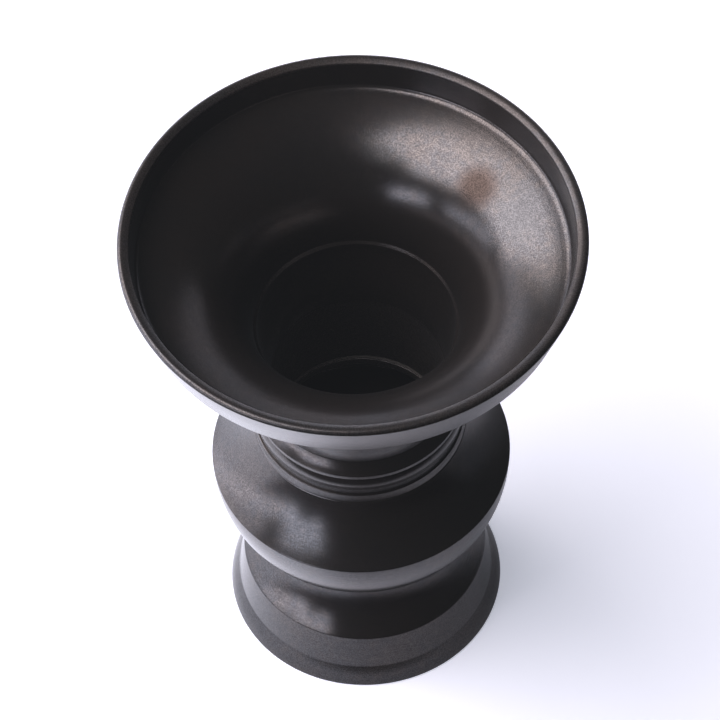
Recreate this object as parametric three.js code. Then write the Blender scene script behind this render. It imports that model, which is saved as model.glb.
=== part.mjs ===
// A dark patinated brass flower vase: turned castings stacked on one axis and soldered watertight, with a
// flat plate closing the foot. Millimetres, +Z up, origin at the centre of the ring that the vase stands on.
import * as THREE from "three";

// Every piece has the same number of facets around the axis, so that nested walls stay parallel.
const facets = 44;

// Mouth: a rim band that tapers inwards as it goes down, round a trumpet funnel
const rimRadius = 75;
const rimWall = 3.8;
const rimBandHeight = 16.4;
const rimBandTaper = 5;
const rimEdgeRound = 1.2;
const rimInnerRound = 0.7;
const rimCrown = 0.35;
const rimInnerDepth = 11.3;
const rimInnerDraft = 1.2;
const rimFillet = 2.2;
const funnelDepth = 35;
const funnelWall = 3.4;
const throatStep = 0.9;

// Neck, and the lip that ends the mouth casting
const neckHeight = 39.1;
const neckRadius = 31.7;
const neckWall = 2.9;
const neckToThroat = 1.7;
const neckFlareHeight = 4;
const neckLipHeight = 1.7;
const castBoreDepth = 27;

// Collar: its bead stands out from the neck as far as the lips above and below it
const collarOut = 3.4;
const collarHeight = 9.4;
const beadHeight = 5.7;
const beadBulge = 0.5;
const collarGrooveDepth = 1.4;

// Body: a lip, a concave shoulder out to a crisp ridge, and a round bowl under it
const bodyLipHeight = 1.6;
const bodyStepHeight = 2;
const bodyStepOut = 0.5;
const shoulderHeight = 19.5;
const shoulderRadius = 50.1;
const bowlArcRadius = 33;
const bowlUndercut = 4;
const bodyWall = 3.4;

// Foot: a narrow waist, a cove, a conical plinth and a flared base
const waistHeight = 10.9;
const waistRadius = 33.3;
const waistJointOut = 1.7;
const waistSpigotInset = 1;
const coveHeight = 19;
const plinthRadius = 41.6;
const plinthHeight = 13.9;
const plinthSpread = 2.2;
const footFlareHeight = 7.6;
const footFlareOut = 3;
const footWall = 4.2;
const footEdgeRound = 0.6;

// Joints: each spigot stops short of a ledge, and a ring of solder fills the corner
const fitGap = 0.3;
const spigotWall = 2.5;
const neckSpigotLength = 20;
const waistSpigotLength = 7.5;
const solderHeight = 1.4;
const ledgeThickness = 3;
const boreRidges = 3;
const boreRidgeHeight = 0.35;

// Base plate, set into a rebate in the foot
const plateThickness = 2.4;
const plateRecess = 1.8;
const plateLedge = 3;
const plateSolderWidth = 2;

// Where the turned curves point, in degrees
const outwards = 0;
const upwards = 90;
const inwards = 180;
const downwards = 270;
const rimLandHeading = 196;
const funnelRimHeading = 201;
const funnelThroatHeading = 262;
const neckTopHeading = 80;
const neckLipHeading = 140;
const neckEdgeHeading = 122;
const beadFootHeading = 78;
const beadTopHeading = 117;
const shoulderTopHeading = 295;
const ridgeHeading = 318;
const coveFootHeading = 309;
const waistJointHeading = 68;
const flareFootHeading = 104;
const flareTopHeading = 118;
const chamberHeading = 315;

// How far each end of a curve keeps to its heading, as a share of the span between its ends
const evenPull = 0.4;
const funnelPull = 0.42;
const shoulderPull = 0.35;
const coveWaistPull = 0.35;
const coveFootPull = 0.45;
const waistPull = 0.55;
const waistJointPull = 0.2;

// Radii that follow from the neck, the waist and the plinth
const neckBore = neckRadius - neckWall;
const throatRadius = neckRadius + neckToThroat;
const collarRadius = neckRadius + collarOut;
const bowlBottomRadius = waistRadius + waistJointOut;
const plinthFootRadius = plinthRadius + plinthSpread;
const footRadius = plinthFootRadius + footFlareOut;

// Heights of the turned edges, worked out from the foot upwards
const plinthTop = footFlareHeight + plinthHeight;
const coveTop = plinthTop + coveHeight;
const bodyBottom = coveTop + waistHeight;
const bowlLean = THREE.MathUtils.degToRad(bowlUndercut);
const bowlCentreRadius = shoulderRadius - bowlArcRadius * Math.cos(bowlLean);
const bowlReach = Math.acos((bowlBottomRadius - bowlCentreRadius) / bowlArcRadius);
const bowlCentreLevel = bodyBottom + bowlArcRadius * Math.sin(bowlReach);
const ridgeLevel = bowlCentreLevel - bowlArcRadius * Math.sin(bowlLean);
const bowlEnd = -THREE.MathUtils.radToDeg(bowlReach);
const shoulderTop = ridgeLevel + shoulderHeight;
const bodyTop = shoulderTop + bodyStepHeight + bodyLipHeight;
const mouthBottom = bodyTop + collarHeight;
const throatLevel = mouthBottom + neckHeight;
const funnelTop = throatLevel + funnelDepth;
const rimTop = funnelTop + rimInnerDepth;

// Sizes that two pieces share
const neckSpigotRadius = neckBore + spigotWall;
const neckSpigotBottom = mouthBottom - neckSpigotLength;
const neckLedge = neckSpigotBottom - fitGap - solderHeight - fitGap;
const waistSpigotRadius = waistRadius - waistSpigotInset;
const waistBore = waistSpigotRadius - spigotWall;
const waistSpigotTop = bodyBottom + waistSpigotLength;
const plateSeat = plateRecess + plateThickness + fitGap;
const plateRebate = footRadius - footWall;

const brass = new THREE.MeshStandardMaterial({ color: 0x1d1a18, roughness: 0.4, metalness: 0.3 });
const plateBrass = new THREE.MeshStandardMaterial({ color: 0x2a2521, roughness: 0.5, metalness: 0.4 });
const solder = new THREE.MeshStandardMaterial({ color: 0x6d6a66, roughness: 0.55, metalness: 0.8 });

const point = (radius, level) => new THREE.Vector2(radius, level);

// A cubic curve in the profile plane that leaves `from` and reaches `to` along the given headings.
function sweep(from, heading, to, arrival, steps, pull = evenPull, arrivalPull = pull) {
  const span = from.distanceTo(to);
  const leave = THREE.MathUtils.degToRad(heading);
  const arrive = THREE.MathUtils.degToRad(arrival);
  const curve = new THREE.CubicBezierCurve(
    from,
    point(from.x + span * pull * Math.cos(leave), from.y + span * pull * Math.sin(leave)),
    point(to.x - span * arrivalPull * Math.cos(arrive), to.y - span * arrivalPull * Math.sin(arrive)),
    to,
  );
  return curve.getPoints(steps);
}

// An arc in the profile plane, between two directions from its centre in degrees.
function arc(centreRadius, centreLevel, radius, fromDirection, toDirection, steps) {
  return Array.from({ length: steps + 1 }, (_, i) => {
    const angle = THREE.MathUtils.degToRad(fromDirection + ((toDirection - fromDirection) * i) / steps);
    return point(centreRadius + radius * Math.cos(angle), centreLevel + radius * Math.sin(angle));
  });
}

// The same open profile moved sideways by a wall thickness; positive goes to the right of its direction.
function offset(profile, wall) {
  return profile.map((here, i) => {
    const before = profile[Math.max(i - 1, 0)];
    const after = profile[Math.min(i + 1, profile.length - 1)];
    const along = after.clone().sub(before).normalize();
    return point(here.x + along.y * wall, here.y - along.x * wall);
  });
}

// A named solid of revolution. The profile runs anticlockwise, with radius to the right and level up.
function turned(name, profile, material) {
  const startsOnAxis = profile[0].x === 0;
  const outline = startsOnAxis ? profile : [...profile, profile[0].clone()];
  const geometry = new THREE.LatheGeometry(outline, facets);
  geometry.rotateX(Math.PI / 2);
  const mesh = new THREE.Mesh(geometry, material);
  mesh.name = name;
  return mesh;
}

// The funnel's inner face, from the fillet at the rim down to the sharp edge of the throat.
function funnelCurve() {
  const start = rimRadius - rimWall - rimInnerDraft - rimFillet;
  const throat = point(throatRadius, throatLevel);
  return sweep(point(start, funnelTop), funnelRimHeading, throat, funnelThroatHeading, 12, funnelPull);
}

// Shallow ridges that the turning tool left in the bore of the neck spigot, listed upwards.
function boreRidgeCurve(bottom, top) {
  const pitch = (top - bottom) / (boreRidges + 1);
  const ridges = [];
  for (let i = 1; i <= boreRidges; i++) {
    const level = bottom + i * pitch;
    ridges.push(point(neckBore, level - boreRidgeHeight));
    ridges.push(point(neckBore - boreRidgeHeight, level));
    ridges.push(point(neckBore, level + boreRidgeHeight));
  }
  return ridges;
}

// The mouth: rim, funnel, neck, lip and the spigot that runs down through the collar into the body.
function makeMouth() {
  const bandBottom = rimTop - rimBandHeight;
  const rimInner = rimRadius - rimWall;
  const funnelEdge = rimInner - rimInnerDraft;
  const funnel = funnelCurve();
  const underside = offset(funnel, -funnelWall)
    .reverse()
    .filter((p) => p.y < bandBottom - funnelWall / 4);
  const lipTop = mouthBottom + neckLipHeight;
  const neckEdge = point(neckRadius, lipTop + neckFlareHeight);
  const crest = point(rimRadius - rimEdgeRound, rimTop);
  const landEnd = point(rimInner + rimInnerRound, rimTop - rimCrown);
  const ledge = point(throatRadius - throatStep, throatLevel - 2 * throatStep);
  const castBottom = point(neckBore, throatLevel - castBoreDepth);
  return turned(
    "mouth",
    [
      point(neckSpigotRadius, neckSpigotBottom),
      point(neckSpigotRadius, mouthBottom),
      point(collarRadius - fitGap, mouthBottom),
      point(collarRadius, mouthBottom + fitGap),
      ...sweep(point(collarRadius, lipTop), neckLipHeading, neckEdge, neckEdgeHeading, 4),
      ...sweep(neckEdge, upwards, underside[0], neckTopHeading, 6).slice(1, -1),
      ...underside,
      point(rimRadius - rimBandTaper - rimEdgeRound, bandBottom),
      point(rimRadius - rimBandTaper, bandBottom + rimEdgeRound / 2),
      ...arc(crest.x, crest.y - rimEdgeRound, rimEdgeRound, outwards, upwards, 3),
      ...sweep(crest, inwards, landEnd, rimLandHeading, 2).slice(1),
      ...arc(landEnd.x, landEnd.y - rimInnerRound, rimInnerRound, rimLandHeading - 90, inwards, 3),
      ...sweep(point(funnelEdge, funnelTop + rimFillet), downwards, funnel[0], funnelRimHeading, 4),
      ...funnel.slice(1),
      point(ledge.x, throatLevel - throatStep),
      ...sweep(ledge, funnelThroatHeading, castBottom, downwards, 4),
      ...boreRidgeCurve(neckSpigotBottom, castBottom.y).reverse(),
      point(neckBore, neckSpigotBottom),
    ],
    brass,
  );
}

// The collar: a bead ring trapped between mouth and body, with a groove cut under it.
function makeCollar() {
  const bore = neckSpigotRadius + fitGap;
  const bottom = bodyTop + fitGap;
  const top = mouthBottom - fitGap;
  const beadBottom = top - beadHeight;
  const floor = collarRadius - collarGrooveDepth;
  const beadFoot = point(collarRadius, beadBottom);
  const beadTop = point(collarRadius - beadBulge, top);
  return turned(
    "neck_collar",
    [
      point(bore, bottom),
      point(floor, bottom),
      point(floor, beadBottom - collarGrooveDepth / 2),
      point(floor + collarGrooveDepth / 2, beadBottom),
      ...sweep(beadFoot, beadFootHeading, beadTop, beadTopHeading, 5),
      point(bore, top),
    ],
    brass,
  );
}

// The body: a lip with a fine step under it, the concave shoulder, the crisp ridge and the bowl.
function makeBody() {
  const socket = neckSpigotRadius + fitGap;
  const waistSocket = waistSpigotRadius + fitGap;
  const lipBottom = bodyTop - bodyLipHeight;
  const step = collarRadius + bodyStepOut;
  const ridge = point(shoulderRadius, ridgeLevel);
  const shoulder = sweep(point(step, shoulderTop), shoulderTopHeading, ridge, ridgeHeading, 8, shoulderPull);
  const bowl = arc(bowlCentreRadius, bowlCentreLevel, bowlArcRadius, bowlEnd, -bowlUndercut, 9);
  const innerArcRadius = bowlArcRadius - bodyWall;
  const innerBowl = arc(bowlCentreRadius, bowlCentreLevel, innerArcRadius, bowlEnd, -bowlUndercut, 9);
  const socketTop = waistSpigotTop + fitGap + solderHeight;
  const inside = [
    ...innerBowl.filter((p) => p.y > socketTop + 1),
    ...offset(shoulder, bodyWall)
      .reverse()
      .filter((p) => p.y > ridgeLevel + 1 && p.y < neckLedge - ledgeThickness - 1),
  ];
  return turned(
    "body",
    [
      point(waistSocket, bodyBottom),
      ...bowl,
      ...shoulder.slice(0, -1).reverse(),
      point(collarRadius + bodyStepOut / 2, shoulderTop + bodyStepOut / 2),
      point(collarRadius, lipBottom),
      point(collarRadius, bodyTop - fitGap),
      point(collarRadius - fitGap, bodyTop),
      point(socket, bodyTop),
      point(socket, neckLedge),
      point(neckBore, neckLedge),
      point(neckBore, neckLedge - ledgeThickness),
      ...inside.reverse(),
      point(waistSocket, socketTop),
    ],
    brass,
  );
}

// The foot: spigot, waist, cove, conical plinth and flared base, hollow and open underneath.
function makeFoot() {
  const face = bodyBottom - fitGap;
  const waist = point(waistRadius, coveTop);
  const coveFoot = point(plinthRadius, plinthTop);
  const cove = sweep(waist, downwards, coveFoot, coveFootHeading, 9, coveWaistPull, coveFootPull);
  const joint = point(bowlBottomRadius, face);
  const flareFoot = point(footRadius, footEdgeRound);
  const flareTop = point(plinthFootRadius, footFlareHeight);
  const chamberTop = point(waistBore, coveTop - footWall);
  const chamberFoot = point(plinthRadius - footWall, plinthTop - footWall);
  return turned(
    "foot",
    [
      point(plateRebate, 0),
      point(footRadius - footEdgeRound, 0),
      ...sweep(flareFoot, flareFootHeading, flareTop, flareTopHeading, 5),
      ...cove.slice(1).reverse(),
      ...sweep(waist, upwards, joint, waistJointHeading, 5, waistPull, waistJointPull),
      point(waistSpigotRadius, face),
      point(waistSpigotRadius, waistSpigotTop),
      point(waistBore, waistSpigotTop),
      ...sweep(chamberTop, downwards, chamberFoot, chamberHeading, 5),
      point(plateRebate - plateLedge, plateSeat),
      point(plateRebate, plateSeat),
    ],
    brass,
  );
}

// The plate that closes the foot, pressed up against its ledge.
function makeBasePlate() {
  const radius = plateRebate - fitGap;
  const top = plateRecess + plateThickness;
  return turned(
    "base_plate",
    [point(0, plateRecess), point(radius, plateRecess), point(radius, top), point(0, top)],
    plateBrass,
  );
}

// Solder that seals a joint, as a ring of rectangular section.
function makeSolderRing(name, inner, outer, bottom, top) {
  return turned(
    name,
    [point(inner, bottom), point(outer, bottom), point(outer, top), point(inner, top)],
    solder,
  );
}

const vase = new THREE.Group();
const neckSolderTop = neckSpigotBottom - fitGap;
const waistSolderBottom = waistSpigotTop + fitGap;
const plateSolderTop = plateRecess - fitGap;
const plateSolderOuter = plateRebate - fitGap;
vase.add(
  makeMouth(),
  makeCollar(),
  makeBody(),
  makeFoot(),
  makeBasePlate(),
  makeSolderRing(
    "neck_solder_ring",
    neckBore + fitGap,
    neckSpigotRadius,
    neckSolderTop - solderHeight,
    neckSolderTop,
  ),
  makeSolderRing(
    "waist_solder_ring",
    waistBore + fitGap,
    waistSpigotRadius,
    waistSolderBottom,
    waistSolderBottom + solderHeight,
  ),
  makeSolderRing(
    "base_solder_ring",
    plateSolderOuter - plateSolderWidth,
    plateSolderOuter,
    plateSolderTop / 2,
    plateSolderTop,
  ),
);

export default vase;
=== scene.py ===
"""A dark patinated brass flower vase.

Around the vase's CAD frame, this script makes its fine turned surfaces, its patina, a studio and a camera.
"""
import math

import bpy
from mathutils import Matrix, Quaternion, Vector


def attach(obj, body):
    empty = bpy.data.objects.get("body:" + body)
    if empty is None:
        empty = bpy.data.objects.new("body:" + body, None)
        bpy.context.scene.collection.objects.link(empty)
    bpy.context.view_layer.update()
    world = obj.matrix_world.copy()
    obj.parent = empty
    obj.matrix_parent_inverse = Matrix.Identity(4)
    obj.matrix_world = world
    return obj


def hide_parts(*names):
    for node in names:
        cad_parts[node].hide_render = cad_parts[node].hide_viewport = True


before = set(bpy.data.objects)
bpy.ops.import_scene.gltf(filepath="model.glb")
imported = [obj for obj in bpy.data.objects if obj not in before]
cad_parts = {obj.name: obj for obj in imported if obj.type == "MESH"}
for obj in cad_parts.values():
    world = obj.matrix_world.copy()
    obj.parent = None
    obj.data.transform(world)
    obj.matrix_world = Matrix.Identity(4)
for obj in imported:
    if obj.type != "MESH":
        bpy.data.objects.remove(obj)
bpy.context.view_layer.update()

MM = 0.001

# The steps round the axis of each turned piece.
TURNS = 384

# The turned sizes, in millimetres, with angles in degrees. They are the CAD's own, apart from the bowl, the
# waist and the collar's groove, which are closer to the photograph than the CAD's, as the funnel's slope is.
RIM_RADIUS = 75.0
RIM_WALL = 3.8
RIM_BAND_HEIGHT = 16.4
RIM_BAND_TAPER = 5.0
RIM_EDGE_ROUND = 1.3
RIM_INNER_ROUND = 0.7
RIM_CROWN = 0.55
RIM_LAND_END = 112
RIM_INNER_DEPTH = 11.3
RIM_INNER_DRAFT = 1.2
RIM_FILLET = 2.2
FUNNEL_DEPTH = 35.0
FUNNEL_WALL = 3.4
THROAT_RADIUS = 33.4
THROAT_STEP = 0.9
NECK_HEIGHT = 39.1
NECK_RADIUS = 31.7
NECK_BORE = 28.8
NECK_FLARE_HEIGHT = 4.0
NECK_LIP_HEIGHT = 1.7
CAST_BORE_DEPTH = 27.0
COLLAR_RADIUS = 35.1
COLLAR_HEIGHT = 9.4
BEAD_HEIGHT = 5.7
BEAD_BULGE = 0.5
BEAD_TOP_CHAMFER = (0.25, 0.2)
COLLAR_GROOVE_DEPTH = 0.6
COLLAR_SEAM = 0.02
BODY_LIP_HEIGHT = 1.6
BODY_STEP_HEIGHT = 2.0
BODY_STEP_OUT = 0.5
SHOULDER_HEIGHT = 19.5
SHOULDER_RADIUS = 50.1
RIDGE_LEVEL = 76.87
UPPER_BOWL_RADIUS = 50.0
LOWER_BOWL_RADIUS = 30.0
BOWL_UNDERCUT = 0.7
BOWL_TURN = 16.3
BODY_WALL = 3.4
BODY_BOTTOM = 51.4
WAIST_RADIUS = 31.7
WAIST_SPIGOT_RADIUS = 32.3
WAIST_SEAM = 0.05
PLINTH_RADIUS = 41.6
PLINTH_HEIGHT = 13.9
PLINTH_SPREAD = 2.2
FOOT_FLARE_HEIGHT = 7.6
FOOT_RADIUS = 46.8
FOOT_WALL = 4.2
FIT_GAP = 0.3
SPIGOT_WALL = 2.5
NECK_SPIGOT_LENGTH = 20.0
WAIST_SPIGOT_LENGTH = 7.5
SOLDER_HEIGHT = 1.4
LEDGE_THICKNESS = 3.0
PLATE_THICKNESS = 2.4
PLATE_RECESS = 1.8
PLATE_LEDGE = 3.0

PLINTH_TOP = FOOT_FLARE_HEIGHT + PLINTH_HEIGHT
SHOULDER_TOP = RIDGE_LEVEL + SHOULDER_HEIGHT
BODY_TOP = SHOULDER_TOP + BODY_STEP_HEIGHT + BODY_LIP_HEIGHT
MOUTH_BOTTOM = BODY_TOP + COLLAR_HEIGHT
THROAT_LEVEL = MOUTH_BOTTOM + NECK_HEIGHT
FUNNEL_TOP = THROAT_LEVEL + FUNNEL_DEPTH
RIM_TOP = FUNNEL_TOP + RIM_INNER_DEPTH
NECK_SPIGOT_RADIUS = NECK_BORE + SPIGOT_WALL
NECK_SPIGOT_BOTTOM = MOUTH_BOTTOM - NECK_SPIGOT_LENGTH
NECK_LEDGE = NECK_SPIGOT_BOTTOM - FIT_GAP - SOLDER_HEIGHT - FIT_GAP
WAIST_BORE = WAIST_SPIGOT_RADIUS - SPIGOT_WALL
WAIST_SPIGOT_TOP = BODY_BOTTOM + WAIST_SPIGOT_LENGTH
CAST_TOP = THROAT_LEVEL - CAST_BORE_DEPTH

# The corner rounds of the large pieces and of the foot and its plate, in millimetres.
EDGE_ROUND = 0.25
FOOT_EDGE_ROUND = 0.3

# The patina's noise scales, per metre, and the turning marks' pitch, in millimetres.
SPECKLE_SCALE = 2300
PIT_SCALE = 650
MOTTLE_SCALE = 420
CLOUD_SCALE = 34
TURNING_PITCH = 0.7

# The patina's reflection: its strength and tints, and what the foot, the brown spot, the land, the cast bore
# and the lower half change in it. The land begins between two depths under the rim's top, in millimetres, and
# the polish of the lower half ends between two levels.
PATINA_IOR = 1.69
COOL_TINT = (0.93, 0.95, 1.0)
WARM_TINT = (1.0, 0.93, 0.90)
BROWN_TINT = (0.95, 0.72, 0.62)
FOOT_SHEEN = 0.72
SPOT_SHEEN = 0.5
LAND_DEPTHS = (1.5, 1.1)
LAND_ROUGHNESS = 0.14
CAST_ROUGHNESS = 0.25
CAST_PITTING = 9
LOW_POLISH = 0.03
LOW_POLISH_LEVELS = (60, 68)

# The middle of the brown spot in the mouth, and how far it is full and ends, in millimetres.
BROWN_SPOT = (41.0, 32.0, 176.5)
BROWN_SPOT_REACH = (2.5, 10)

# The patina's faint even glow, as the lens's own veil gives it in the photograph.
VEIL_TINT = (0.92, 0.97, 1.08, 1)
VEIL = 0.008

BUMP_STRENGTH = 0.2
BUMP_HEIGHT = 0.1

# The floor, in metres, its colours for the camera and for other rays, and its glow's tint and strength.
# The colour for other rays carries painted shade, and glossy rays see a painted glow on the floor.
FLOOR_SIZE = 8
FLOOR_LEVEL = -0.0002
FLOOR_SEEN = (0.89, 0.92, 1.0)
FLOOR_MIRRORED = (0.88, 0.91, 1.0)
FLOOR_GLOW = (0.92, 0.95, 1.09, 1)
FLOOR_SEEN_GLOW = 0.42

LAMP_DISTANCE = 3.0
LAMP_AIM = Vector((0, 0, 0.12))
SOFTBOX_TINT = (1.0, 0.91, 0.93)
WALL_TINT = (0.95, 0.93, 1.05)
ROOM_LIGHT = 0.04
BACKDROP = 0.95

# The photograph's camera: its lens in millimetres, its place in rim radii and its turns in radians.
CAMERA_LENS = 250.0
CAMERA_BACK = 12.59845
CAMERA_HEIGHT = 19.58575
CAMERA_YAW = 0.00086
CAMERA_PITCH = 0.9571
CAMERA_ROLL = -0.040


def point(radius, level):
    return Vector((radius, level))


def span(low, high):
    """Two places in millimetres, as the metres that materials use."""
    return low * MM, high * MM


def sweep(start, heading, end, arrival, steps, pull=0.4, arrival_pull=None):
    """A cubic curve between two points that leaves and arrives along headings in degrees.

    0 points outwards and 90 up. The pulls say how far each heading carries, as shares of the distance.
    """
    start, end = Vector(start), Vector(end)
    length = (end - start).length
    leave, arrive = math.radians(heading), math.radians(arrival)
    first = start + length * pull * Vector((math.cos(leave), math.sin(leave)))
    second = end - length * (arrival_pull or pull) * Vector((math.cos(arrive), math.sin(arrive)))
    points = []
    for i in range(steps + 1):
        t = i / steps
        u = 1 - t
        points.append(u**3 * start + 3 * u * u * t * first + 3 * u * t * t * second + t**3 * end)
    return points


def arc(centre, radius, start, end, steps):
    """An arc about centre between two angles in degrees."""
    middle = Vector(centre)
    angles = [math.radians(start + (end - start) * i / steps) for i in range(steps + 1)]
    return [middle + radius * Vector((math.cos(a), math.sin(a))) for a in angles]


def offset(profile, wall):
    """The open profile moved sideways; positive goes to the right of its direction."""
    moved = []
    for i, here in enumerate(profile):
        before = profile[max(i - 1, 0)]
        after = profile[min(i + 1, len(profile) - 1)]
        along = (after - before).normalized()
        moved.append(Vector((here.x + along.y * wall, here.y - along.x * wall)))
    return moved


def bowl_outline():
    """The bowl from its ridge down to the waist: a gentle arc that runs on into a tighter one."""
    undercut, turn = math.radians(BOWL_UNDERCUT), math.radians(BOWL_TURN)
    ridge = point(SHOULDER_RADIUS, RIDGE_LEVEL)
    upper_centre = ridge + UPPER_BOWL_RADIUS * Vector((-math.cos(undercut), math.sin(undercut)))
    upper = arc(upper_centre, UPPER_BOWL_RADIUS, -BOWL_UNDERCUT, -BOWL_TURN, 30)
    lower_centre = upper[-1] + LOWER_BOWL_RADIUS * Vector((-math.cos(turn), math.sin(turn)))
    waist_angle = math.degrees(math.acos((WAIST_RADIUS - lower_centre.x) / LOWER_BOWL_RADIUS))
    return upper + arc(lower_centre, LOWER_BOWL_RADIUS, -BOWL_TURN, -waist_angle, 40)[1:]


def at_level(outline, level):
    """The point where a falling outline crosses a level."""
    for above, below in zip(outline, outline[1:]):
        if above.y >= level > below.y:
            return above.lerp(below, (above.y - level) / (above.y - below.y))


def softened(profile, radius, least_turn=12.0, steps=4):
    """A closed profile with a small round on each corner, as a turned edge has."""
    points = [Vector(p) for p in profile]
    result = []
    count = len(points)
    for i, here in enumerate(points):
        before, after = points[i - 1], points[(i + 1) % count]
        into, out = here - before, after - here
        if into.length < 1e-6 or out.length < 1e-6:
            continue
        turn = math.degrees(into.angle(out))
        if turn < least_turn or here.x < 1e-6:
            result.append(here)
            continue
        room = min(radius, into.length * 0.45, out.length * 0.45)
        start = here - into.normalized() * room
        end = here + out.normalized() * room
        for k in range(steps + 1):
            t = k / steps
            result.append((1 - t) ** 2 * start + 2 * (1 - t) * t * here + t * t * end)
    return result


def revolve(name, profile):
    """A closed mesh of revolution about Z from a profile in millimetres, given as radius and level."""
    count = len(profile)
    vertices, faces = [], []
    on_axis = [p.x < 1e-6 for p in profile]
    rings = []
    for p, axis in zip(profile, on_axis):
        if axis:
            rings.append([len(vertices)] * TURNS)
            vertices.append((0, 0, p.y * MM))
            continue
        first = len(vertices)
        rings.append(list(range(first, first + TURNS)))
        for k in range(TURNS):
            a = 2 * math.pi * k / TURNS
            vertices.append((p.x * MM * math.cos(a), p.x * MM * math.sin(a), p.y * MM))
    for i in range(count):
        low, high = rings[i], rings[(i + 1) % count]
        if on_axis[i] and on_axis[(i + 1) % count]:
            continue
        for k in range(TURNS):
            n = (k + 1) % TURNS
            corner = [low[k], low[n], high[n], high[k]]
            face = [v for j, v in enumerate(corner) if v not in corner[:j]]
            if len(face) > 2:
                faces.append(face)
    mesh = bpy.data.meshes.new(name)
    mesh.from_pydata(vertices, [], faces)
    mesh.validate()
    mesh.update()
    piece = bpy.data.objects.new(name, mesh)
    bpy.context.scene.collection.objects.link(piece)
    for polygon in mesh.polygons:
        polygon.use_smooth = True
    return piece


def mouth_profile():
    rim_inner = RIM_RADIUS - RIM_WALL
    edge = rim_inner - RIM_INNER_DRAFT
    band_bottom = RIM_TOP - RIM_BAND_HEIGHT
    shoulder = point(edge - RIM_FILLET, FUNNEL_TOP)
    funnel = sweep(shoulder, 196, point(THROAT_RADIUS, THROAT_LEVEL), 262, 70, 0.32, 0.44)
    underside = reversed(offset(funnel, -FUNNEL_WALL))
    underside = [p for p in underside if p.y < band_bottom - FUNNEL_WALL / 4]
    lip_top = MOUTH_BOTTOM + NECK_LIP_HEIGHT
    neck_edge = point(NECK_RADIUS, lip_top + NECK_FLARE_HEIGHT)
    ledge = THROAT_RADIUS - THROAT_STEP
    ledge_foot = point(ledge, THROAT_LEVEL - 2 * THROAT_STEP)
    turn = math.radians(RIM_LAND_END)
    land_end = point(rim_inner + RIM_INNER_ROUND * (1 + math.cos(turn)), RIM_TOP - RIM_CROWN)
    inner_round = (rim_inner + RIM_INNER_ROUND, land_end.y - RIM_INNER_ROUND * math.sin(turn))
    return [
        point(NECK_SPIGOT_RADIUS, NECK_SPIGOT_BOTTOM),
        point(NECK_SPIGOT_RADIUS, MOUTH_BOTTOM),
        point(COLLAR_RADIUS, MOUTH_BOTTOM),
        *sweep(point(COLLAR_RADIUS, lip_top), 140, neck_edge, 122, 14),
        *sweep(neck_edge, 90, underside[0], 80, 24)[1:-1],
        *underside,
        point(RIM_RADIUS - RIM_BAND_TAPER, band_bottom),
        *arc((RIM_RADIUS - RIM_EDGE_ROUND, RIM_TOP - RIM_EDGE_ROUND), RIM_EDGE_ROUND, -10, 90, 12),
        *sweep(point(RIM_RADIUS - RIM_EDGE_ROUND, RIM_TOP), 183, land_end, 202, 10)[1:],
        *arc(inner_round, RIM_INNER_ROUND, RIM_LAND_END, 186, 10)[1:],
        *sweep(point(edge, FUNNEL_TOP + RIM_FILLET), 270, shoulder, 196, 12),
        *funnel[1:],
        point(ledge, THROAT_LEVEL - THROAT_STEP),
        *sweep(ledge_foot, 262, point(NECK_BORE, CAST_TOP), 270, 16),
        point(NECK_BORE, NECK_SPIGOT_BOTTOM),
    ]


def collar_profile():
    bore = NECK_SPIGOT_RADIUS + FIT_GAP
    bottom = BODY_TOP + COLLAR_SEAM
    top = MOUTH_BOTTOM - COLLAR_SEAM
    bead_bottom = MOUTH_BOTTOM - FIT_GAP - BEAD_HEIGHT
    floor = COLLAR_RADIUS - COLLAR_GROOVE_DEPTH
    bead_top = COLLAR_RADIUS - BEAD_BULGE
    chamfer_out, chamfer_down = BEAD_TOP_CHAMFER
    return [
        point(bore, bottom),
        point(floor, bottom),
        point(floor, bead_bottom - COLLAR_GROOVE_DEPTH / 2),
        point(floor + COLLAR_GROOVE_DEPTH / 2, bead_bottom),
        *sweep(point(COLLAR_RADIUS, bead_bottom), 78, point(bead_top, top - chamfer_down), 117, 14),
        point(bead_top - chamfer_out, top),
        point(bore, top),
    ]


def body_profile():
    socket = NECK_SPIGOT_RADIUS + FIT_GAP
    waist_socket = WAIST_SPIGOT_RADIUS + FIT_GAP
    step = COLLAR_RADIUS + BODY_STEP_OUT
    ridge = point(SHOULDER_RADIUS, RIDGE_LEVEL)
    shoulder = sweep(point(step, SHOULDER_TOP), 295, ridge, 318, 50, 0.35)
    outline = bowl_outline()
    bowl = [p for p in outline if p.y > BODY_BOTTOM] + [at_level(outline, BODY_BOTTOM)]
    socket_top = WAIST_SPIGOT_TOP + FIT_GAP + SOLDER_HEIGHT
    roof = NECK_LEDGE - LEDGE_THICKNESS
    inner_bowl = [p for p in reversed(offset(bowl, BODY_WALL)) if p.y > socket_top + 1]
    inner_shoulder = reversed(offset(shoulder, BODY_WALL))
    inner_shoulder = [p for p in inner_shoulder if RIDGE_LEVEL + 1 < p.y < roof - 1]
    return [
        point(waist_socket, BODY_BOTTOM),
        *reversed(bowl),
        *reversed(shoulder[:-1]),
        point(COLLAR_RADIUS + BODY_STEP_OUT / 2, SHOULDER_TOP + BODY_STEP_OUT / 2),
        point(COLLAR_RADIUS, BODY_TOP - BODY_LIP_HEIGHT),
        point(COLLAR_RADIUS, BODY_TOP),
        point(socket, BODY_TOP),
        point(socket, NECK_LEDGE),
        point(NECK_BORE, NECK_LEDGE),
        point(NECK_BORE, roof),
        *reversed(inner_bowl + inner_shoulder),
        point(waist_socket, socket_top),
    ]


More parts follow.
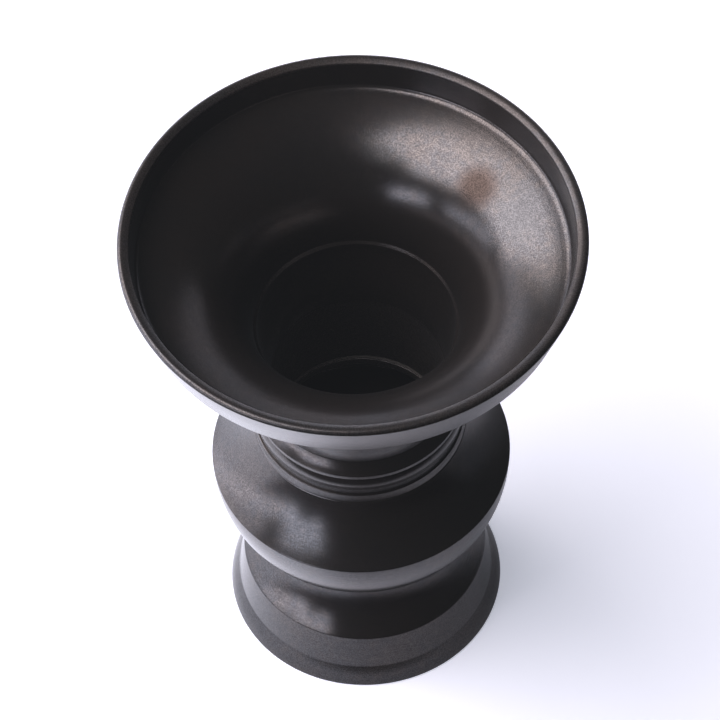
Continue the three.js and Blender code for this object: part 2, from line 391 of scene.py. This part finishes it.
def foot_profile():
    face = BODY_BOTTOM - WAIST_SEAM
    plinth_foot = PLINTH_RADIUS + PLINTH_SPREAD
    rebate = FOOT_RADIUS - FOOT_WALL
    outline = bowl_outline()
    dish = [at_level(outline, face)] + [p for p in outline if p.y < face]
    cove = sweep(dish[-1], 270, point(PLINTH_RADIUS, PLINTH_TOP), 309, 50, 0.35, 0.45)
    plate_seat = PLATE_RECESS + PLATE_THICKNESS + FIT_GAP
    chamber = point(PLINTH_RADIUS - FOOT_WALL, PLINTH_TOP - FOOT_WALL)
    return [
        point(rebate, 0),
        point(FOOT_RADIUS, 0),
        *sweep(point(FOOT_RADIUS, 0.5), 104, point(plinth_foot, FOOT_FLARE_HEIGHT), 118, 16),
        *reversed(cove[1:]),
        *reversed(dish[:-1]),
        point(WAIST_SPIGOT_RADIUS, face),
        point(WAIST_SPIGOT_RADIUS, WAIST_SPIGOT_TOP),
        point(WAIST_BORE, WAIST_SPIGOT_TOP),
        *sweep(point(WAIST_BORE, dish[-1].y - FOOT_WALL), 270, chamber, 315, 16),
        point(rebate - PLATE_LEDGE, plate_seat),
        point(rebate, plate_seat),
    ]


def plate_profile():
    radius = FOOT_RADIUS - FOOT_WALL - FIT_GAP
    top = PLATE_RECESS + PLATE_THICKNESS
    return [point(0, PLATE_RECESS), point(radius, PLATE_RECESS), point(radius, top), point(0, top)]


def feed(tree, socket, value):
    """Set a socket to a plain value, or join it to another socket."""
    if isinstance(value, bpy.types.NodeSocket):
        tree.links.new(value, socket)
    else:
        socket.default_value = value


def calc(tree, operation, first, second=0.0):
    node = tree.nodes.new("ShaderNodeMath")
    node.operation = operation
    feed(tree, node.inputs[0], first)
    feed(tree, node.inputs[1], second)
    return node.outputs[0]


def noise(tree, vector, scale, detail):
    node = tree.nodes.new("ShaderNodeTexNoise")
    node.inputs["Scale"].default_value = scale
    node.inputs["Detail"].default_value = detail
    tree.links.new(vector, node.inputs["Vector"])
    return node.outputs["Fac"]


def fade(tree, value, ends, levels, smooth=True):
    """A change from one level to another while the value goes from one end to the other."""
    ramp = tree.nodes.new("ShaderNodeMapRange")
    ramp.interpolation_type = "SMOOTHSTEP" if smooth else "LINEAR"
    ramp.inputs["From Min"].default_value, ramp.inputs["From Max"].default_value = ends
    ramp.inputs["To Min"].default_value, ramp.inputs["To Max"].default_value = levels
    tree.links.new(value, ramp.inputs["Value"])
    return ramp.outputs["Result"]


def mix(tree, factor, first, second):
    """A colour between two, each given as a tuple or a socket."""
    node = tree.nodes.new("ShaderNodeMix")
    node.data_type = "RGBA"
    feed(tree, node.inputs[0], factor)
    for socket, colour in ((node.inputs[6], first), (node.inputs[7], second)):
        feed(tree, socket, (*colour, 1) if isinstance(colour, tuple) else colour)
    return node.outputs[2]


def places(tree):
    """The object coordinates, the radius from the turning axis and the level, in metres."""
    coords = tree.nodes.new("ShaderNodeTexCoord").outputs["Object"]
    split = tree.nodes.new("ShaderNodeSeparateXYZ")
    tree.links.new(coords, split.inputs[0])
    x, y, z = split.outputs
    square = calc(tree, "ADD", calc(tree, "MULTIPLY", x, x), calc(tree, "MULTIPLY", y, y))
    return coords, calc(tree, "SQRT", square), z


def near(tree, coords, centre, reach):
    """1 near a point, fading to 0 between the two distances of its reach."""
    node = tree.nodes.new("ShaderNodeVectorMath")
    node.operation = "DISTANCE"
    tree.links.new(coords, node.inputs[0])
    node.inputs[1].default_value = [c * MM for c in centre]
    return fade(tree, node.outputs["Value"], span(*reach), (1, 0))


def turning_marks(tree, radius, level, pitch):
    """Fine rings about the axis, a pitch in millimetres apart, as the lathe tool leaves them."""
    join = tree.nodes.new("ShaderNodeCombineXYZ")
    tree.links.new(radius, join.inputs[0])
    tree.links.new(level, join.inputs[1])
    return noise(tree, join.outputs[0], 1 / (pitch * MM), 2)


def patina(name, base, warm, roughness, metallic, speckle=0.35):
    """Dark patinated brass: fine speckle, warm and cool clouds, and faint turning marks."""
    material = bpy.data.materials.new(name)
    material.use_nodes = True
    tree = material.node_tree
    shader = tree.nodes["Principled BSDF"]
    coords, radius, level = places(tree)
    fine = noise(tree, coords, SPECKLE_SCALE, 2)
    mottle = noise(tree, coords, MOTTLE_SCALE, 3)
    cloud = noise(tree, coords, CLOUD_SCALE, 5)
    marks = turning_marks(tree, radius, level, TURNING_PITCH)
    feed(tree, shader.inputs["Base Color"], mix(tree, cloud, base, warm))

    land = fade(tree, level, span(*(RIM_TOP - depth for depth in LAND_DEPTHS)), (0, 1))
    below_cast = fade(tree, level, span(CAST_TOP - 2, CAST_TOP), (1, 0))
    in_bore = fade(tree, radius, span(NECK_BORE + 1, NECK_BORE + 2), (1, 0))
    cast = calc(tree, "MULTIPLY", below_cast, in_bore)
    foot = fade(tree, level, span(PLINTH_TOP, PLINTH_TOP + 2), (FOOT_SHEEN, 1))
    spot = near(tree, coords, BROWN_SPOT, BROWN_SPOT_REACH)

    dots = fade(tree, fine, (0.36, 0.64), (1 - speckle, 1 + speckle), False)
    blotch = fade(tree, mottle, (0.3, 0.7), (0.9, 1.1), False)
    streak = fade(tree, marks, (0.3, 0.7), (0.93, 1.07), False)
    browned = fade(tree, spot, (0, 1), (1, SPOT_SHEEN), False)
    sheen = 0.5
    for factor in (dots, blotch, streak, foot, browned):
        sheen = calc(tree, "MULTIPLY", factor, sheen)
    feed(tree, shader.inputs["Specular IOR Level"], sheen)
    tone = calc(tree, "ADD", cloud, calc(tree, "MULTIPLY", mottle, 0.6))
    tint = mix(tree, fade(tree, tone, (0.62, 0.98), (0, 1)), COOL_TINT, WARM_TINT)
    feed(tree, shader.inputs["Specular Tint"], mix(tree, spot, tint, BROWN_TINT))

    rough = fade(tree, cloud, (0.3, 0.7), (roughness - 0.02, roughness + 0.03), False)
    rough = calc(tree, "ADD", rough, calc(tree, "MULTIPLY", land, LAND_ROUGHNESS))
    rough = calc(tree, "ADD", rough, calc(tree, "MULTIPLY", cast, CAST_ROUGHNESS))
    polish = fade(tree, level, span(*LOW_POLISH_LEVELS), (LOW_POLISH, 0))
    feed(tree, shader.inputs["Roughness"], calc(tree, "SUBTRACT", rough, polish))

    height = calc(tree, "ADD", fine, calc(tree, "MULTIPLY", marks, 0.5))
    pitting = calc(tree, "MULTIPLY", cast, CAST_PITTING)
    pits = calc(tree, "MULTIPLY", noise(tree, coords, PIT_SCALE, 3), pitting)
    bump = tree.nodes.new("ShaderNodeBump")
    bump.inputs["Strength"].default_value = BUMP_STRENGTH
    bump.inputs["Distance"].default_value = BUMP_HEIGHT * MM
    feed(tree, bump.inputs["Height"], calc(tree, "ADD", height, pits))
    feed(tree, shader.inputs["Normal"], bump.outputs["Normal"])

    shader.inputs["Metallic"].default_value = metallic
    shader.inputs["Emission Color"].default_value = VEIL_TINT
    shader.inputs["Emission Strength"].default_value = VEIL
    shader.inputs["IOR"].default_value = PATINA_IOR
    return material


PATINA = patina("patinated_brass", (0.0095, 0.0090, 0.0092), (0.0120, 0.0095, 0.0085), 0.215, 0.0)
PLATE = patina("plate_brass", (0.040, 0.030, 0.022), (0.060, 0.040, 0.025), 0.45, 0.2)
SOLDER = patina("solder", (0.3, 0.29, 0.28), (0.33, 0.31, 0.29), 0.5, 0.8, 0.1)


def make(name, profile, round_radius, node, material):
    """One turned piece in the place of its CAD node."""
    piece = revolve(name, softened(profile, round_radius))
    piece.data.materials.append(material)
    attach(piece, "root")
    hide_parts(node)


make("turned_mouth", mouth_profile(), EDGE_ROUND, "mouth", PATINA)
make("turned_neck_collar", collar_profile(), EDGE_ROUND, "neck_collar", PATINA)
make("turned_body", body_profile(), EDGE_ROUND, "body", PATINA)
make("turned_foot", foot_profile(), FOOT_EDGE_ROUND, "foot", PATINA)
make("turned_base_plate", plate_profile(), FOOT_EDGE_ROUND, "base_plate", PLATE)
for ring in ("neck_solder_ring", "waist_solder_ring", "base_solder_ring"):
    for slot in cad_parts[ring].material_slots:
        slot.material = SOLDER


def add_floor():
    """A pale floor that is plain to the camera. To other rays it has painted shade towards the front and the
    right; glossy rays also see a painted glow on it, brightest at the left.
    """
    bpy.ops.mesh.primitive_plane_add(size=FLOOR_SIZE, location=(0, 0, FLOOR_LEVEL))
    floor = bpy.context.object
    floor.name = "floor"
    material = bpy.data.materials.new("floor_white")
    material.use_nodes = True
    tree = material.node_tree
    tree.nodes.clear()
    out = tree.nodes.new("ShaderNodeOutputMaterial")
    coords = tree.nodes.new("ShaderNodeTexCoord")
    split = tree.nodes.new("ShaderNodeSeparateXYZ")
    tree.links.new(coords.outputs["Object"], split.inputs[0])
    x, y, _ = split.outputs
    path = tree.nodes.new("ShaderNodeLightPath")
    seen = path.outputs["Is Camera Ray"]
    mirrored = path.outputs["Is Glossy Ray"]
    # Painted shade: to other rays the floor's colour goes dark towards the front and the right.
    to_front = fade(tree, y, span(-170, -60), (0.02, 0.85))
    to_right = fade(tree, x, span(100, 300), (1, 0.04))
    paper_with_painted_shade = mix(tree, calc(tree, "MULTIPLY", to_front, to_right), (0.0, 0.0, 0.0), FLOOR_MIRRORED)
    diffuse = tree.nodes.new("ShaderNodeBsdfDiffuse")
    feed(tree, diffuse.inputs["Color"], mix(tree, seen, paper_with_painted_shade, FLOOR_SEEN))
    # Painted light: glossy rays see a glow on the floor, brightest at the left and fading to the right and
    # the front.
    glow_to_right = fade(tree, x, span(-60, 0), (1.0, 0.1))
    glow_to_front = fade(tree, y, span(-170, -70), (0.03, 1.0))
    painted_floor_glow = calc(tree, "MULTIPLY", mirrored, calc(tree, "MULTIPLY", glow_to_right, glow_to_front))
    seen_glow = calc(tree, "MULTIPLY", seen, FLOOR_SEEN_GLOW)
    glow = tree.nodes.new("ShaderNodeEmission")
    glow.inputs["Color"].default_value = FLOOR_GLOW
    feed(tree, glow.inputs["Strength"], calc(tree, "ADD", painted_floor_glow, seen_glow))
    both = tree.nodes.new("ShaderNodeAddShader")
    tree.links.new(diffuse.outputs[0], both.inputs[0])
    tree.links.new(glow.outputs[0], both.inputs[1])
    tree.links.new(both.outputs[0], out.inputs["Surface"])
    floor.data.materials.append(material)


def add_lamp(name, azimuth, elevation, wide, tall, radiance, colour, roll=0.0):
    """An area lamp that faces the vase, placed and sized by the angles in degrees at which the vase sees it.

    Azimuth 0 is on the photograph's right and 180 on its left. The power is pi times radiance times area.
    """
    data = bpy.data.lights.new(name, "AREA")
    data.shape = "RECTANGLE"
    data.size = 2 * LAMP_DISTANCE * math.tan(math.radians(wide / 2))
    data.size_y = 2 * LAMP_DISTANCE * math.tan(math.radians(tall / 2))
    data.energy = radiance * math.pi * data.size * data.size_y
    data.color = colour
    lamp = bpy.data.objects.new(name, data)
    bpy.context.scene.collection.objects.link(lamp)
    side, rise = math.radians(azimuth), math.radians(elevation)
    way = Vector((math.cos(rise) * math.cos(side), math.cos(rise) * math.sin(side), math.sin(rise)))
    lamp.location = LAMP_AIM + way * LAMP_DISTANCE
    lamp.rotation_mode = "QUATERNION"
    lamp.rotation_quaternion = Quaternion(way, math.radians(roll)) @ way.to_track_quat("Z", "Y")


def add_world(strength, backdrop):
    """A dim room for the object, and a pale backdrop for the camera where it looks past the floor."""
    world = bpy.data.worlds.new("studio")
    bpy.context.scene.world = world
    world.use_nodes = True
    tree = world.node_tree
    back = tree.nodes["Background"]
    back.inputs["Color"].default_value = (1, 1, 1, 1)
    seen = tree.nodes.new("ShaderNodeLightPath").outputs["Is Camera Ray"]
    feed(tree, back.inputs["Strength"], fade(tree, seen, (0, 1), (strength, backdrop), False))


def add_camera():
    """The photograph's long lens, which looks down at about 55 degrees, with its slight roll."""
    data = bpy.data.cameras.new("camera")
    data.sensor_width = 36
    data.lens = CAMERA_LENS
    data.clip_end = 100
    camera = bpy.data.objects.new("camera", data)
    bpy.context.scene.collection.objects.link(camera)
    ahead = Vector((math.sin(CAMERA_YAW), math.cos(CAMERA_YAW), 0))
    forward = ahead * math.cos(CAMERA_PITCH) - Vector((0, 0, math.sin(CAMERA_PITCH)))
    right = forward.cross(Vector((0, 0, 1))).normalized()
    up = right.cross(forward)
    turned_right = right * math.cos(CAMERA_ROLL) + up * math.sin(CAMERA_ROLL)
    turned_up = up * math.cos(CAMERA_ROLL) - right * math.sin(CAMERA_ROLL)
    rotation = Matrix((turned_right, turned_up, -forward)).transposed().to_4x4()
    place = Vector((0, -CAMERA_BACK, CAMERA_HEIGHT)) * RIM_RADIUS * MM
    camera.matrix_world = Matrix.Translation(place) @ rotation
    bpy.context.scene.camera = camera


add_floor()
add_lamp("softbox", azimuth=170, elevation=52, wide=68, tall=35, radiance=5.9, colour=SOFTBOX_TINT, roll=30)
add_lamp("softbox_corner", azimuth=240, elevation=60, wide=12, tall=18, radiance=1.6, colour=SOFTBOX_TINT)
add_lamp("window_sill", azimuth=180, elevation=6, wide=76, tall=12, radiance=4.2, colour=WALL_TINT)
add_lamp("window_middle", azimuth=178, elevation=20, wide=38, tall=12, radiance=2.3, colour=WALL_TINT)
add_lamp("window_right", azimuth=226, elevation=17, wide=26, tall=20, radiance=3.6, colour=WALL_TINT)
add_lamp("back_left", azimuth=128, elevation=16, wide=40, tall=18, radiance=1.3, colour=WALL_TINT)
add_lamp("back_horizon", azimuth=85, elevation=4, wide=56, tall=8, radiance=5.0, colour=WALL_TINT)
add_lamp("back_wall", azimuth=75, elevation=18, wide=60, tall=18, radiance=0.4, colour=WALL_TINT)
add_world(ROOM_LIGHT, BACKDROP)
add_camera()
bpy.context.scene.view_settings.view_transform = "Standard"
